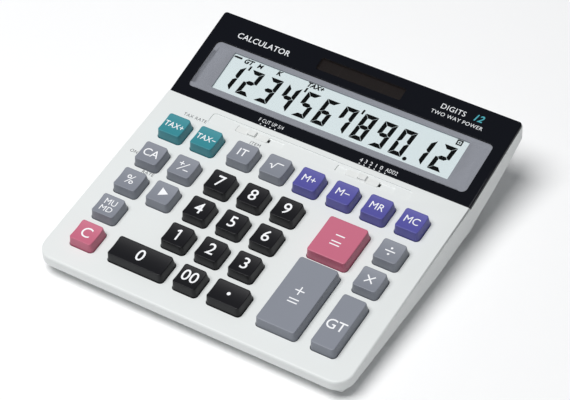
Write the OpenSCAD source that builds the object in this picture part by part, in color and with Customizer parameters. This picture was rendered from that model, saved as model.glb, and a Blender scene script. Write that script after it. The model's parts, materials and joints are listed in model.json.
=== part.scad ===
// Desk calculator: a sloping keyboard with raised keycaps, two slide switches
// and a display panel that tilts up behind them, on a moulded two-part case.

/* [Case] */
// Width of the case
body_w = 191; // [180:0.5:235]
// Length of the keyboard deck, measured up its slope
deck_len = 130.5; // [126:0.5:160]
// Length of the display panel, measured up its slope
panel_len = 61; // [58:0.5:80]
// Tilt of the keyboard deck
deck_tilt = 6; // [3:0.5:9]
// Tilt of the display panel
panel_tilt = 13.5; // [9:0.5:20]
// Height of the deck's front edge above the desk
deck_z0 = 13.2; // [12.5:0.1:20]
// Wall thickness of the top case
wall = 2.2; // [1.6:0.1:3]
// Radius of the two front corners, seen from above
front_corner_r = 10; // [6:0.5:16]
// Radius of the two rear corners, seen from above
rear_corner_r = 2.5; // [1:0.5:6]
// Height of the top case's lower edge above the desk
skirt_z = 7.5; // [6.8:0.1:9]
// Distance from the rear at which the lower edge starts to sweep up
sweep_back = 104; // [90:1:120]
// Radius of the sweep of the lower edge
sweep_r = 235; // [220:5:400]

/* [Bottom case] */
// Height of the underside above the desk
floor_z = 1.5; // [1:0.1:2.5]
// Thickness of the floor
floor_t = 2; // [1.5:0.1:3]
// Step in of the bottom case below the top case
tray_inset = 1.5; // [0.8:0.1:3]
// Thickness of the side wall with its lip
tray_wall = 2.4; // [2:0.1:3.5]
// Height of the lip that reaches up inside the top case
lip_h = 2; // [1:0.5:4]
// Bevel along the edge of the underside
tray_bevel = 5; // [1:0.5:5]
// Distance from the rear at which the underside starts to rise
ramp_back = 69; // [56:1:80]
// Slope of the rising rear underside
ramp_angle = 21.6; // [15:0.2:24]
// Radius of a rubber foot
foot_r = 5; // [3:0.5:7]
// Height of a rubber foot
foot_h = 2.5; // [2:0.1:3]

/* [Keys] */
// Pitch of the keys across the deck
pitch_x = 20.95; // [19:0.05:24]
// Pitch of the keys up the deck
pitch_v = 20.7; // [19:0.05:24]
// Extra space between the two left columns and the rest
column_gap = 2.5; // [0:0.1:6]
// Extra space in front of the top row
row_gap = 2.2; // [0:0.1:6]
// Centre of the front row, measured from the deck's front edge
front_row_v = 20.4; // [18:0.1:26]
// Width of a key at the deck
key_w = 15.1; // [12.5:0.1:16]
// Depth of a key at the deck
key_d = 15; // [13:0.1:16]
// Height of a key above the deck
key_h = 6; // [4:0.1:8]
// Slope of a key's sides, as the amount each side leans in
key_draft = 1.1; // [0.4:0.1:2]
// Corner radius of a key
key_r = 2.2; // [1.4:0.1:3]
// Wall thickness of a key
key_wall = 1.2; // [1:0.1:1.6]
// Gap between a key and the deck around it
key_clear = 0.35; // [0.25:0.05:0.6]
// How far a key's flange reaches out under the deck
flange_reach = 1.2; // [0.8:0.1:1.5]
// Travel of a key
key_travel = 2; // [1:0.1:2]
// Width of the zero key
zero_w = 35.1; // [30:0.1:38]
// Width of the point key
point_w = 21.1; // [18:0.1:22]
// Width of the two large operator keys
wide_w = 24.5; // [20:0.1:26]
// Centre of the large operator keys, measured from the middle of the case
wide_x = 46.7; // [44:0.1:50]
// Depth of the large plus key
plus_d = 46.4; // [40:0.1:48]
// Depth of the large minus key
minus_d = 26.9; // [22:0.1:28]

/* [Slide switches] */
// Pitch of the switch positions
detent = 3.15; // [2.5:0.05:4]
// Middle of the rounding switch's track
rounding_x = -31.3; // [-36:0.1:-28]
// Middle of the decimal switch's track
decimal_x = 35.2; // [32:0.1:40]
// Distance of the tracks in front of the display panel
track_back = 7; // [6.5:0.1:9]
// Length of a slider's cover plate
slider_l = 20; // [16:0.5:24]
// Width of a slider's cover plate
slider_w = 4.1; // [3:0.1:5]
// Length of the finger piece on a slider
knob_l = 5.3; // [4:0.1:7]
// Depth of the long recess that both tracks lie in
recess_depth = 0.5; // [0.3:0.1:0.8]

/* [Display] */
// Thickness of the black bezel
bezel_t = 2; // [1.6:0.1:3]
// Thickness of the case's shelf under the bezel
shelf_t = 2; // [1.6:0.1:3]
// Step from the case's side to the bezel's edge
bezel_reveal = 0.5; // [0.3:0.1:1]
// Width of the display window
window_w = 175.7; // [160:0.5:178]
// Height of the display window
window_h = 33.7; // [32:0.1:36]
// Middle of the display window, measured up the panel
window_mid = 24.25; // [23:0.25:26]
// Width of the visible liquid crystal area
lcd_w = 149.7; // [130:0.5:155]
// Height of the visible liquid crystal area
lcd_h = 26; // [20:0.1:28]
// Width of the solar window
solar_w = 53.5; // [40:0.5:60]
// Height of the solar window
solar_h = 8.1; // [6:0.1:9]
// Middle of the solar window, measured up the panel
solar_mid = 50.15; // [49:0.25:52]

/* [Battery] */
// Diameter of the button cell
cell_d = 11.6; // [9.5:0.1:12.5]
// Height of the button cell
cell_h = 5.4; // [3:0.1:5.4]
// Middle of the battery cover across the case
battery_x = 55; // [40:1:60]
// Middle of the battery cover from the front
battery_y = 88; // [80:1:95]

/* [Hidden] */
$fn = 48;
polygon_fn = 12;        // keycap corners are drawn as straight facets
eps = 0.01;
over = 3;               // how far cutting profiles run past the case
fit_clear = 0.15;
window_clear = 0.1;
min_r = 0.4;
arc_steps = 12;
half_w = body_w / 2;
line_y = deck_len * cos(deck_tilt);
line_z = deck_z0 + deck_len * sin(deck_tilt);
depth = line_y + panel_len * cos(panel_tilt);
front_y = -depth / 2;
rear_z = line_z + panel_len * sin(panel_tilt);
sweep_y = depth - sweep_back;
ramp_y = depth - ramp_back;

// Layers below the deck's surface, measured square to it
flange_top = -wall - 0.3;
flange_t = 1;
stem_end = -4.4;
stem_r = 1.8;
mat_top = -6.6;
board_top = -7.6;
board_t = 1.6;
board_bottom = board_top - board_t;
board_half_w = half_w - 12.8;
board_front = 7;
mat_front = 9;
dome_r = 4.2;
dome_top_r = 2.4;
pill_r = 1.6;
chip_r = 6;
chip_t = 1.6;
key_roof = 1.5;
key_bevel = 0.5;

// Layers below the panel's surface, measured square to it
shelf_top = -bezel_t;
shelf_bottom = shelf_top - shelf_t;
window_t = 1;
mask_t = bezel_t - window_clear - window_t;
glass_t = 1.1;
glass_top = shelf_top - 0.1;
glass_w = lcd_w + 8.3;
glass_h = lcd_h + 8.2;
ledge_h = 3.5;
reflector_t = 0.3;
holder_w = glass_w + 8;
holder_h = glass_h + 8;
holder_gap = 0.02;
panel_board_top = shelf_bottom - 3.5;
panel_board_t = 1.2;
panel_board_bottom = panel_board_top - panel_board_t;
panel_board_w = glass_w + 20;
panel_board_h = glass_h + 4;
solar_cell_t = 1.2;
lead_r = 0.4;
lead_m = shelf_bottom - 1.5;
window_r = 3;
lcd_rise = 0.6;         // how far the visible area sits above the middle of the window

ribbon_w = 40;
ribbon_grip = 8;

// Screws
screw_r = 1.3;
screw_head_r = 2.4;
screw_head_h = 1.5;
screw_len = 7;
screw_sink = 1.8;
pillar_h = 4;
pillar_r = 3.2;
case_boss_r = 2.6;
case_screw_in = 9.5;
case_screw_x = half_w - case_screw_in;
front_screw_y = 12;
middle_screw_y = 80;
small_screw_r = 0.9;
small_head_r = 1.9;
small_head_h = 1.2;
small_screw_len = 5;
board_boss_r = 2.2;
thread_clear = 0.05;
peg_r = 1;

// Feet, from the front, from the start of the ramp and from the sides
front_foot_y = 16;
rear_foot_back = 8;
foot_in = 25;

// Battery compartment
cover_w = 34;
cover_d = 17;
cover_t = 1.6;
cover_clear = 0.15;
pad_t = 1.1;
cell_z = floor_z + cover_t + 0.05;
cell_wall_t = 1.2;
contact_t = 0.3;
cell_x = battery_x - 5;
cover_screw_x = battery_x + 11;

function skirt_edge(y) =
    y <= sweep_y ? skirt_z : skirt_z + sweep_r - sqrt(sweep_r * sweep_r - pow(y - sweep_y, 2));
function underside(y) =
    y <= ramp_y ? floor_z : floor_z + (y - ramp_y) * tan(ramp_angle);
// A point given along a slope and square to it, as [distance from the front, height]
function deck_point(v, n) =
    [v * cos(deck_tilt) - n * sin(deck_tilt), deck_z0 + v * sin(deck_tilt) + n * cos(deck_tilt)];
function panel_point(w, m) =
    [line_y + w * cos(panel_tilt) - m * sin(panel_tilt), line_z + w * sin(panel_tilt) + m * cos(panel_tilt)];
// The swept lower edge from the rear to the front, raised by a lift
function skirt_line(lift) =
    concat([for (i = [0:arc_steps])
                let (y = depth + over - i * (depth + over - sweep_y) / arc_steps)
                [y, skirt_edge(y) + lift]],
           [[-over, skirt_z + lift]]);

function col_x(i) = (i - 3.5) * pitch_x + (i < 2 ? -1 : 1) * column_gap / 2;
function row_v(j) = front_row_v + j * pitch_v + (j > 3 ? row_gap : 0);
function mid(a, b) = (a + b) / 2;
front_edge_v = row_v(0) - key_d / 2;

key_black = [0.15, 0.15, 0.17];
key_grey = [0.54, 0.55, 0.6];
key_teal = [0.24, 0.55, 0.59];
key_violet = [0.33, 0.32, 0.64];
key_pink = [0.8, 0.42, 0.53];

// Name, centre across, centre up the deck, width, depth and colour of each key
KEYS = concat(
    [for (k = [["key_tax_plus", 0, 4, key_teal], ["key_tax_minus", 1, 4, key_teal],
               ["key_item", 2, 4, key_grey], ["key_root", 3, 4, key_grey],
               ["key_memory_plus", 4, 4, key_violet], ["key_memory_minus", 5, 4, key_violet],
               ["key_memory_recall", 6, 4, key_violet], ["key_memory_clear", 7, 4, key_violet],
               ["key_all_clear", 0, 3, key_grey], ["key_sign", 1, 3, key_grey],
               ["key_7", 2, 3, key_black], ["key_8", 3, 3, key_black], ["key_9", 4, 3, key_black],
               ["key_divide", 7, 3, key_grey],
               ["key_percent", 0, 2, key_grey], ["key_backspace", 1, 2, key_grey],
               ["key_4", 2, 2, key_black], ["key_5", 3, 2, key_black], ["key_6", 4, 2, key_black],
               ["key_multiply", 7, 2, key_grey],
               ["key_markup", 0, 1, key_grey],
               ["key_1", 2, 1, key_black], ["key_2", 3, 1, key_black], ["key_3", 4, 1, key_black],
               ["key_clear", 0, 0, key_pink], ["key_00", 3, 0, key_black]])
        [k[0], col_x(k[1]), row_v(k[2]), key_w, key_d, k[3]]],
    [["key_0", col_x(2) + key_w / 2 - zero_w / 2, row_v(0), zero_w, key_d, key_black],
     ["key_point", col_x(4) - key_w / 2 + point_w / 2, row_v(0), point_w, key_d, key_black],
     ["key_plus_equals", wide_x, front_edge_v + plus_d / 2, wide_w, plus_d, key_grey],
     ["key_minus_equals", wide_x, row_v(3) + key_d / 2 - minus_d / 2, wide_w, minus_d, key_pink],
     ["key_grand_total", col_x(7), mid(row_v(0), row_v(1)), key_w, key_d + pitch_v, key_grey]]);

// Rear edge of the keys, and what lies behind it
keys_back = row_v(4) + key_d / 2;
track_v = deck_len - track_back;
mat_back = keys_back + 2.5;
board_back = deck_len - 3;
track_w = slider_w + 2 * fit_clear;
track_depth = 0.7;
track_floor = -recess_depth - track_depth;
slider_t = track_depth - 0.05;
slider_stem_w = 2;
slider_stem_l = 3;
carriage_l = 7;
carriage_w = 5;
carriage_t = 1.2;
rounding_span = 3 * detent;
decimal_span = 5 * detent;
rounding_rest = -rounding_span / 2;
decimal_rest = -detent / 2;
recess_end = 10;
recess_half = max(decimal_span / 2 + decimal_x, rounding_span / 2 - rounding_x) + slider_l / 2 + recess_end;

// Board screws stand in the spaces between the keys
left_gap_x = mid(col_x(1), col_x(2));
plus_left = wide_x - wide_w / 2;
plus_right = wide_x + wide_w / 2;
middle_gap_x = mid(col_x(4) + key_w / 2, plus_left);
right_gap_x = mid(plus_right, col_x(7) - key_w / 2);
zero_left = col_x(2) + key_w / 2 - zero_w;
point_right = col_x(4) - key_w / 2 + point_w;
board_screws_at = [
    [left_gap_x, mid(row_v(3), row_v(4))],
    [mid(col_x(4), col_x(5)), mid(row_v(3), row_v(4))],
    [mid(col_x(6), col_x(7)), mid(row_v(3), row_v(4))],
    [left_gap_x, mid(row_v(1), row_v(2))],
    [middle_gap_x, mid(row_v(1), row_v(2))],
    [right_gap_x, mid(row_v(1), row_v(2))],
    [mid(col_x(0) + key_w / 2, zero_left), row_v(0)],
    [mid(point_right, plus_left), row_v(0)]];
panel_screws_at = [for (s = [-1, 1], w = [-1, 1])
                       [s * (glass_w / 2 + 6.5), window_mid + w * (panel_board_h / 2 - 4)]];
pegs_at = [for (s = [-1, 1], w = [5, panel_len - 5]) [s * (half_w - 5), w]];
display_board_end = panel_point(window_mid + panel_board_h / 2, panel_board_bottom)[0];
rear_screw_y = max(depth - 13, display_board_end + case_boss_r + 0.5);
case_screws_at = [for (s = [-1, 1], y = [front_screw_y, middle_screw_y, rear_screw_y]) [s * case_screw_x, y]];
feet_at = [for (s = [-1, 1], y = [front_foot_y, ramp_y - rear_foot_back]) [s * (half_w - foot_in), y]];

// ---- Frames that the pieces are drawn in ----

module from_front() translate([0, front_y, 0]) children();
module on_deck() from_front() translate([0, 0, deck_z0]) rotate([deck_tilt, 0, 0]) children();
module on_panel() from_front() translate([0, line_y, line_z]) rotate([panel_tilt, 0, 0]) children();

// ---- Shapes that repeat ----

// Extrudes a side view, drawn as [distance from the front, height], across the case
module across(w) rotate([90, 0, 90]) linear_extrude(w, center = true) children();

// Extrudes a front view, drawn as [across, height], from front to rear
module lengthwise(l) translate([0, l, 0]) rotate([90, 0, 0]) linear_extrude(l) children();

module rounded_rect(w, d, r) {
    square([w - 2 * r, d], center = true);
    square([w, d - 2 * r], center = true);
    for (sx = [-1, 1], sy = [-1, 1])
        translate([sx * (w / 2 - r), sy * (d / 2 - r)]) circle(r);
}

// A plate on its bottom face, centred in plan
module plate(w, d, t, r = min_r) linear_extrude(t) rounded_rect(w, d, r);

// The case seen from above, stepped in by an inset
module plan_outline(inset) {
    hw = half_w - inset;
    rf = max(front_corner_r - inset, min_r);
    rb = max(rear_corner_r - inset, min_r);
    translate([-hw, inset + rf]) square([2 * hw, depth - 2 * inset - rf - rb]);
    translate([-(hw - rf), inset]) square([2 * (hw - rf), depth / 2]);
    translate([-(hw - rb), depth / 2]) square([2 * (hw - rb), depth / 2 - inset]);
    for (s = [-1, 1]) {
        translate([s * (hw - rf), inset + rf]) circle(rf);
        translate([s * (hw - rb), depth - inset - rb]) circle(rb);
    }
}

module plan_block(inset) linear_extrude(rear_z + over) plan_outline(inset);

// A screw standing on its head, with the head's outer face at zero
module screw(head_r, head_h, shank_r, shank_l) {
    difference() {
        cylinder(r = head_r, h = head_h);
        translate([0, 0, -eps]) plate(head_r * 1.2, 0.5, 0.5 + eps, 0.1);
        translate([0, 0, -eps]) plate(0.5, head_r * 1.2, 0.5 + eps, 0.1);
    }
    translate([0, 0, head_h - eps]) cylinder(r = shank_r, h = shank_l + eps);
}

// ---- Case ----

module top_solid()
    intersection() {
        across(body_w + over)
            polygon(concat([deck_point(-over, 0), deck_point(deck_len, 0),
                            panel_point(0, shelf_top), panel_point(panel_len + over, shelf_top)],
                           skirt_line(0)));
        plan_block(0);
    }

module top_cavity()
    intersection() {
        across(body_w)
            polygon([deck_point(-over, -wall), deck_point(deck_len - wall, -wall),
                     panel_point(-wall, shelf_bottom), panel_point(panel_len + over, shelf_bottom),
                     [depth + over, 0], [-over, 0]]);
        plan_block(wall);
    }

module top_case()
    color([0.9, 0.91, 0.91]) difference() {
        union() {
            from_front() difference() {
                top_solid();
                top_cavity();
            }
            on_deck() for (p = board_screws_at)
                translate([p[0], p[1], board_top]) cylinder(r = board_boss_r, h = -board_top - wall / 2);
            on_panel() for (p = panel_screws_at)
                translate([p[0], p[1], panel_board_top])
                    cylinder(r = board_boss_r, h = shelf_top - 0.5 - panel_board_top);
            from_front() intersection() {
                top_solid();
                for (p = case_screws_at)
                    translate([p[0], p[1], underside(p[1]) + pillar_h])
                        cylinder(r = case_boss_r, h = rear_z);
            }
        }
        on_deck() {
            for (k = KEYS)
                translate([k[1], k[2], -wall - 1])
                    plate(k[3] + 2 * key_clear, k[4] + 2 * key_clear, wall + 2, key_r + key_clear);
            for (p = board_screws_at)
                translate([p[0], p[1], board_top - eps])
                    cylinder(r = small_screw_r + thread_clear, h = small_screw_len - board_t + 0.5);
            translate([0, track_v, -recess_depth]) plate(2 * recess_half, track_w + 3, 2, 2);
            switch_opening(rounding_x, rounding_span);
            switch_opening(decimal_x, decimal_span);
        }
        on_panel() {
            translate([0, window_mid, shelf_bottom - eps])
                plate(glass_w + 2 * fit_clear, glass_h + 2 * fit_clear, shelf_t + 1, min_r);
            translate([0, solar_mid, shelf_top - solar_cell_t - 0.1])
                plate(solar_w + 2, solar_h + 1, 2, min_r);
            translate([solar_w / 4, solar_mid, shelf_bottom - 1]) cylinder(r = 1.5, h = 3);
            for (p = panel_screws_at)
                translate([p[0], p[1], panel_board_top - eps])
                    cylinder(r = small_screw_r + thread_clear, h = small_screw_len - panel_board_t + 0.1);
            for (p = pegs_at)
                translate([p[0], p[1], shelf_bottom - 1]) cylinder(r = peg_r + thread_clear, h = shelf_t + 2);
        }
        from_front() for (p = case_screws_at)
            translate([p[0], p[1], underside(p[1]) + pillar_h - eps])
                cylinder(r = screw_r + thread_clear, h = screw_len - pillar_h + screw_sink + 0.5);
    }

// The shallow track for a slider, with a narrow slot through its floor for the stem
module switch_opening(x, span) {
    translate([x, track_v, track_floor])
        plate(slider_l + span + 2 * fit_clear, track_w, 2, 0.8);
    translate([x, track_v, -wall - 1])
        plate(slider_stem_l + span + 4 * fit_clear, slider_stem_w + 2 * fit_clear, wall + 1, min_r);
}

// The bottom case's outside or inside, stepped in, with a raised floor and a top edge
// that follows the sweep of the top case
module tray_solid(inset, lift, top_lift) {
    bevel_top = floor_z + tray_bevel;
    ramp_lift = lift / cos(ramp_angle);
    knee_y = ramp_y - (ramp_lift - lift) / tan(ramp_angle);
    foot_z = floor_z + lift;
    edge = inset + max(bevel_top - foot_z, 0);
    intersection() {
        across(body_w)
            polygon(concat([[inset, skirt_z + top_lift], [inset, bevel_top], [edge, foot_z], [knee_y, foot_z],
                            [depth + over, floor_z + ramp_lift + (depth + over - ramp_y) * tan(ramp_angle)]],
                           [for (p = skirt_line(top_lift)) if (p[0] > inset) p]));
        lengthwise(depth)
            polygon([[-half_w + inset, rear_z], [-half_w + inset, bevel_top], [-half_w + edge, foot_z],
                     [half_w - edge, foot_z], [half_w - inset, bevel_top], [half_w - inset, rear_z]]);
        plan_block(inset);
    }
}

module tray_outside() {
    tray_solid(tray_inset, 0, -fit_clear);
    tray_solid(wall + fit_clear, 0, lip_h);
}

module bottom_case()
    color([0.86, 0.87, 0.87]) from_front() difference() {
        union() {
            difference() {
                tray_outside();
                tray_solid(tray_inset + tray_wall, floor_t, lip_h + over);
            }
            intersection() {
                tray_outside();
                for (p = case_screws_at)
                    translate([p[0], p[1], 0]) cylinder(r = pillar_r, h = underside(p[1]) + pillar_h);
            }
            translate([battery_x, battery_y, floor_z + floor_t - eps])
                plate(cover_w + 4, cover_d + 4, pad_t, 2);
            translate([cell_x, battery_y, floor_z + floor_t])
                cylinder(r = cell_d / 2 + cover_clear + cell_wall_t, h = cell_h - 1);
            translate([cover_screw_x, battery_y, floor_z + floor_t]) cylinder(r = 2.6, h = 4);
        }
        for (p = case_screws_at) {
            translate([p[0], p[1], underside(p[1]) - 5])
                cylinder(r = screw_head_r + fit_clear, h = 5 + screw_sink);
            translate([p[0], p[1], underside(p[1])])
                cylinder(r = screw_r + fit_clear, h = pillar_h + 1);
        }
        for (p = feet_at)
            translate([p[0], p[1], 0]) cylinder(r = foot_r + fit_clear, h = foot_h);
        translate([battery_x, battery_y, 0])
            plate(cover_w + 2 * cover_clear, cover_d + 2 * cover_clear, floor_z + cover_t + 0.05, 1.5);
        translate([cell_x, battery_y, 0]) cylinder(r = cell_d / 2 + cover_clear, h = 3 * cell_h);
        translate([cell_x + cell_d / 2, battery_y, cell_z + 0.5])
            translate([-1, -2.5, 0]) cube([4, 5, 2 * cell_h]);
        translate([cover_screw_x, battery_y, 0]) cylinder(r = small_screw_r + thread_clear, h = 7);
    }

module rubber_feet()
    color([0.2, 0.2, 0.21]) from_front() for (p = feet_at)
        translate([p[0], p[1], 0]) cylinder(r = foot_r, h = foot_h);

module case_screws()
    color([0.75, 0.75, 0.77]) from_front() for (p = case_screws_at)
        translate([p[0], p[1], underside(p[1]) + screw_sink - screw_head_h])
            screw(screw_head_r, screw_head_h, screw_r, screw_len);

// ---- Keys ----

module key_slice(w, d, r, z) translate([0, 0, z]) linear_extrude(eps) rounded_rect(w, d, r, $fn = polygon_fn);

module key_cap(k) {
    w = k[3];
    d = k[4];
    top_w = w - 2 * key_draft;
    top_d = d - 2 * key_draft;
    color(k[5]) on_deck() translate([k[1], k[2], 0]) {
        difference() {
            union() {
                hull() {
                    key_slice(w, d, key_r, flange_top);
                    key_slice(w, d, key_r, 0);
                    key_slice(top_w, top_d, key_r, key_h - key_bevel);
                    key_slice(top_w - 2 * key_bevel, top_d - 2 * key_bevel, key_r - key_bevel, key_h - eps);
                }
                translate([0, 0, flange_top - flange_t])
                    linear_extrude(flange_t + eps)
                        rounded_rect(w + 2 * flange_reach, d + 2 * flange_reach, key_r, $fn = polygon_fn);
            }
            translate([0, 0, flange_top - flange_t - 1])
                linear_extrude(key_h - key_roof - flange_top + flange_t + 1)
                    square([top_w - 2 * key_wall, top_d - 2 * key_wall], center = true);
        }
        translate([0, 0, stem_end]) cylinder(r = stem_r, h = key_h - key_roof - stem_end + 0.3);
    }
}

// One rubber dome with the contact pill under its roof, on the sheet's own level
module dome()
    rotate_extrude()
        polygon([[0, stem_end], [dome_top_r, stem_end], [dome_top_r + 0.2, stem_end - 0.6], [dome_r, mat_top],
                 [dome_r, board_top], [dome_r - 0.7, board_top], [dome_r - 0.7, mat_top - 0.1],
                 [pill_r + 0.4, stem_end - 0.9], [pill_r, stem_end - 0.9], [pill_r, board_top + key_travel],
                 [0, board_top + key_travel]]);

module key_mat()
    color([0.62, 0.64, 0.66]) on_deck() {
        difference() {
            translate([0, mid(mat_front, mat_back), board_top])
                plate(2 * board_half_w - 2, mat_back - mat_front, mat_top - board_top, 2);
            for (k = KEYS)
                translate([k[1], k[2], board_top - 1]) cylinder(r = dome_r - 0.2, h = 3);
            for (p = board_screws_at)
                translate([p[0], p[1], board_top - 1]) cylinder(r = board_boss_r + 0.4, h = 3);
        }
        for (k = KEYS) translate([k[1], k[2], 0]) dome();
    }

module main_board()
    color([0.25, 0.4, 0.25]) on_deck() difference() {
        translate([0, mid(board_front, board_back), board_bottom])
            plate(2 * board_half_w, board_back - board_front, board_t, 1.5);
        for (p = board_screws_at)
            translate([p[0], p[1], board_bottom - 1]) cylinder(r = small_screw_r + 0.2, h = board_t + 2);
    }

module board_screws()
    color([0.75, 0.75, 0.77]) {
        on_deck() for (p = board_screws_at)
            translate([p[0], p[1], board_bottom - small_head_h])
                screw(small_head_r, small_head_h, small_screw_r, small_screw_len);
        on_panel() for (p = panel_screws_at)
            translate([p[0], p[1], panel_board_bottom - small_head_h])
                screw(small_head_r, small_head_h, small_screw_r, small_screw_len);
    }

module controller_chip()
    color([0.08, 0.08, 0.09]) on_deck()
        translate([mid(col_x(2), col_x(3)), mid(row_v(2), row_v(3)), board_bottom])
            mirror([0, 0, 1]) rotate_extrude()
                polygon([[0, 0], [chip_r, 0], [0.93 * chip_r, 0.4 * chip_t], [0.7 * chip_r, 0.8 * chip_t],
                         [chip_r / 3, chip_t], [0, chip_t]]);

// ---- Slide switches ----

// The moving piece of a switch: cover plate, ribbed finger piece, stem and carriage
module slider(x, rest)
    color([0.9, 0.91, 0.91]) on_deck() translate([x + rest, track_v, 0]) {
        translate([0, 0, track_floor + 0.05]) plate(slider_l, slider_w, slider_t, 0.7);
        rotate([90, 0, 0]) translate([0, 0, -slider_w / 2 + 0.35]) linear_extrude(slider_w - 0.7)
            polygon([[-knob_l / 2, -recess_depth - 0.1], [knob_l / 2, -recess_depth - 0.1],
                     [knob_l / 2 - 0.3, 0.9], [0.6, 0.55], [-0.6, 0.55], [-knob_l / 2 + 0.3, 0.9]]);
        translate([0, 0, -wall - 0.3 - eps])
            plate(slider_stem_l, slider_stem_w, wall + 0.3 + track_floor + 0.1, min_r);
        translate([0, 0, -wall - 0.3 - carriage_t]) plate(carriage_l, carriage_w, carriage_t, 0.6);
    }

// The bent metal leaf that bridges the contact pads on the board
module wiper(x, rest) {
    leaf_top = -wall - 0.3 - carriage_t;
    leaf_end = board_top + 0.05;
    color([0.8, 0.68, 0.4]) on_deck() translate([x + rest, track_v, 0]) {
        translate([0, 0, leaf_top - contact_t]) plate(carriage_l - 1, carriage_w - 1, contact_t, 0.4);
        for (s = [-1, 1])
            translate([0, s * 1.2, 0]) rotate([90, 0, 0])
                linear_extrude(0.8, center = true)
                    polygon([[2.6, leaf_top - eps], [3, leaf_top - eps], [1.2, leaf_end], [-1.2, leaf_end],
                             [-3, leaf_top - eps], [-2.6, leaf_top - eps], [-1, leaf_end + 0.3],
                             [1, leaf_end + 0.3]]);
    }
}

module rounding_slider() slider(rounding_x, rounding_rest);
module rounding_wiper() wiper(rounding_x, rounding_rest);
module decimal_slider() slider(decimal_x, decimal_rest);
module decimal_wiper() wiper(decimal_x, decimal_rest);

// ---- Display ----

module display_bezel()
    color([0.07, 0.07, 0.1]) difference() {
        intersection() {
            on_panel() translate([0, 0.1, shelf_top])
                translate([-body_w, 0, 0]) cube([2 * body_w, panel_len + over, bezel_t]);
            from_front() plan_block(bezel_reveal);
        }
        on_panel() {
            translate([0, window_mid, shelf_top - 1])
                plate(window_w + 2 * window_clear, window_h + 2 * window_clear, bezel_t + 2,
                      window_r + window_clear);
            translate([0, solar_mid, shelf_top - 1])
                plate(solar_w + 2 * window_clear, solar_h + 2 * window_clear, bezel_t + 2, 1 + window_clear);
        }
    }

// The bezel's pegs are part of the moulding and pass through the shelf
module bezel_with_pegs() {
    display_bezel();
    color([0.07, 0.07, 0.1]) on_panel() for (p = pegs_at)
        translate([p[0], p[1], shelf_bottom]) cylinder(r = peg_r, h = shelf_t + 0.5);
}

module display_window()
    color([0.8, 0.85, 0.85, 0.3]) on_panel()
        translate([0, window_mid, shelf_top + mask_t]) plate(window_w, window_h, window_t, window_r);

module window_mask()
    color([0.58, 0.59, 0.62]) on_panel() difference() {
        translate([0, window_mid, shelf_top]) plate(window_w, window_h, mask_t, window_r);
        translate([0, window_mid + lcd_rise, shelf_top - 1]) plate(lcd_w, lcd_h, mask_t + 2, min_r);
    }

module solar_window()
    color([0.2, 0.16, 0.15, 0.5]) on_panel()
        translate([0, solar_mid, shelf_top]) plate(solar_w, solar_h, bezel_t - window_clear, 1);

module solar_cell()
    color([0.17, 0.12, 0.12]) on_panel()
        translate([0, solar_mid, shelf_top - solar_cell_t - 0.05])
            plate(solar_w + 1.6, solar_h + 0.6, solar_cell_t, min_r);

module solar_leads()
    for (s = [-1, 1])
        color(s < 0 ? [0.1, 0.1, 0.1] : [0.7, 0.1, 0.1]) on_panel()
            translate([solar_w / 4 + s * 0.7, 0, 0]) {
                lead_y = window_mid + panel_board_h / 2 - 1.5;
                translate([0, solar_mid, lead_m])
                    cylinder(r = lead_r, h = shelf_top - solar_cell_t - 0.1 - lead_m);
                translate([0, solar_mid, lead_m]) sphere(r = lead_r);
                translate([0, solar_mid, lead_m]) rotate([90, 0, 0])
                    cylinder(r = lead_r, h = solar_mid - lead_y);
                translate([0, lead_y, lead_m]) sphere(r = lead_r);
                translate([0, lead_y, panel_board_top]) cylinder(r = lead_r, h = lead_m - panel_board_top);
            }

// Two glasses: the front one overhangs the rear one by the contact ledge
module lcd_cell()
    color([0.83, 0.9, 0.89]) on_panel() {
        translate([0, window_mid, glass_top - glass_t]) plate(glass_w, glass_h, glass_t, min_r);
        translate([0, window_mid + ledge_h / 2, glass_top - 2 * glass_t])
            plate(glass_w, glass_h - ledge_h, glass_t + eps, min_r);
    }

module lcd_reflector()
    color([0.75, 0.77, 0.76]) on_panel()
        translate([0, window_mid + ledge_h / 2, glass_top - 2 * glass_t - reflector_t])
            plate(glass_w - 2, glass_h - ledge_h - 2, reflector_t, min_r);

module lcd_holder()
    color([0.85, 0.85, 0.83]) on_panel() difference() {
        translate([0, window_mid, panel_board_top])
            plate(holder_w, holder_h, shelf_bottom - holder_gap - panel_board_top, 1);
        translate([0, window_mid + ledge_h / 2, glass_top - 2 * glass_t - reflector_t - 0.05])
            plate(glass_w + 2 * fit_clear, glass_h - ledge_h + 2 * fit_clear, 5, min_r);
        translate([0, window_mid + ledge_h / 2, panel_board_top - 1])
            plate(glass_w - 8, glass_h - ledge_h - 8, 8, 1);
        translate([0, window_mid - glass_h / 2 + ledge_h / 2, panel_board_top - 1])
            plate(lcd_w + 2, 2.2, 8, min_r);
        translate([solar_w / 4, window_mid + holder_h / 2 - 2.6, panel_board_top - 1]) plate(4, 6, 8, 0.5);
    }

module zebra_strip()
    color([0.85, 0.55, 0.6]) on_panel()
        translate([0, window_mid - glass_h / 2 + ledge_h / 2, panel_board_top])
            plate(lcd_w, 1.8, glass_top - glass_t - panel_board_top, min_r);

module display_board()
    color([0.25, 0.4, 0.25]) on_panel() difference() {
        translate([0, window_mid, panel_board_bottom]) plate(panel_board_w, panel_board_h, panel_board_t, 1);
        for (p = panel_screws_at)
            translate([p[0], p[1], panel_board_bottom - 1])
                cylinder(r = small_screw_r + 0.2, h = panel_board_t + 2);
    }

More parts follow.
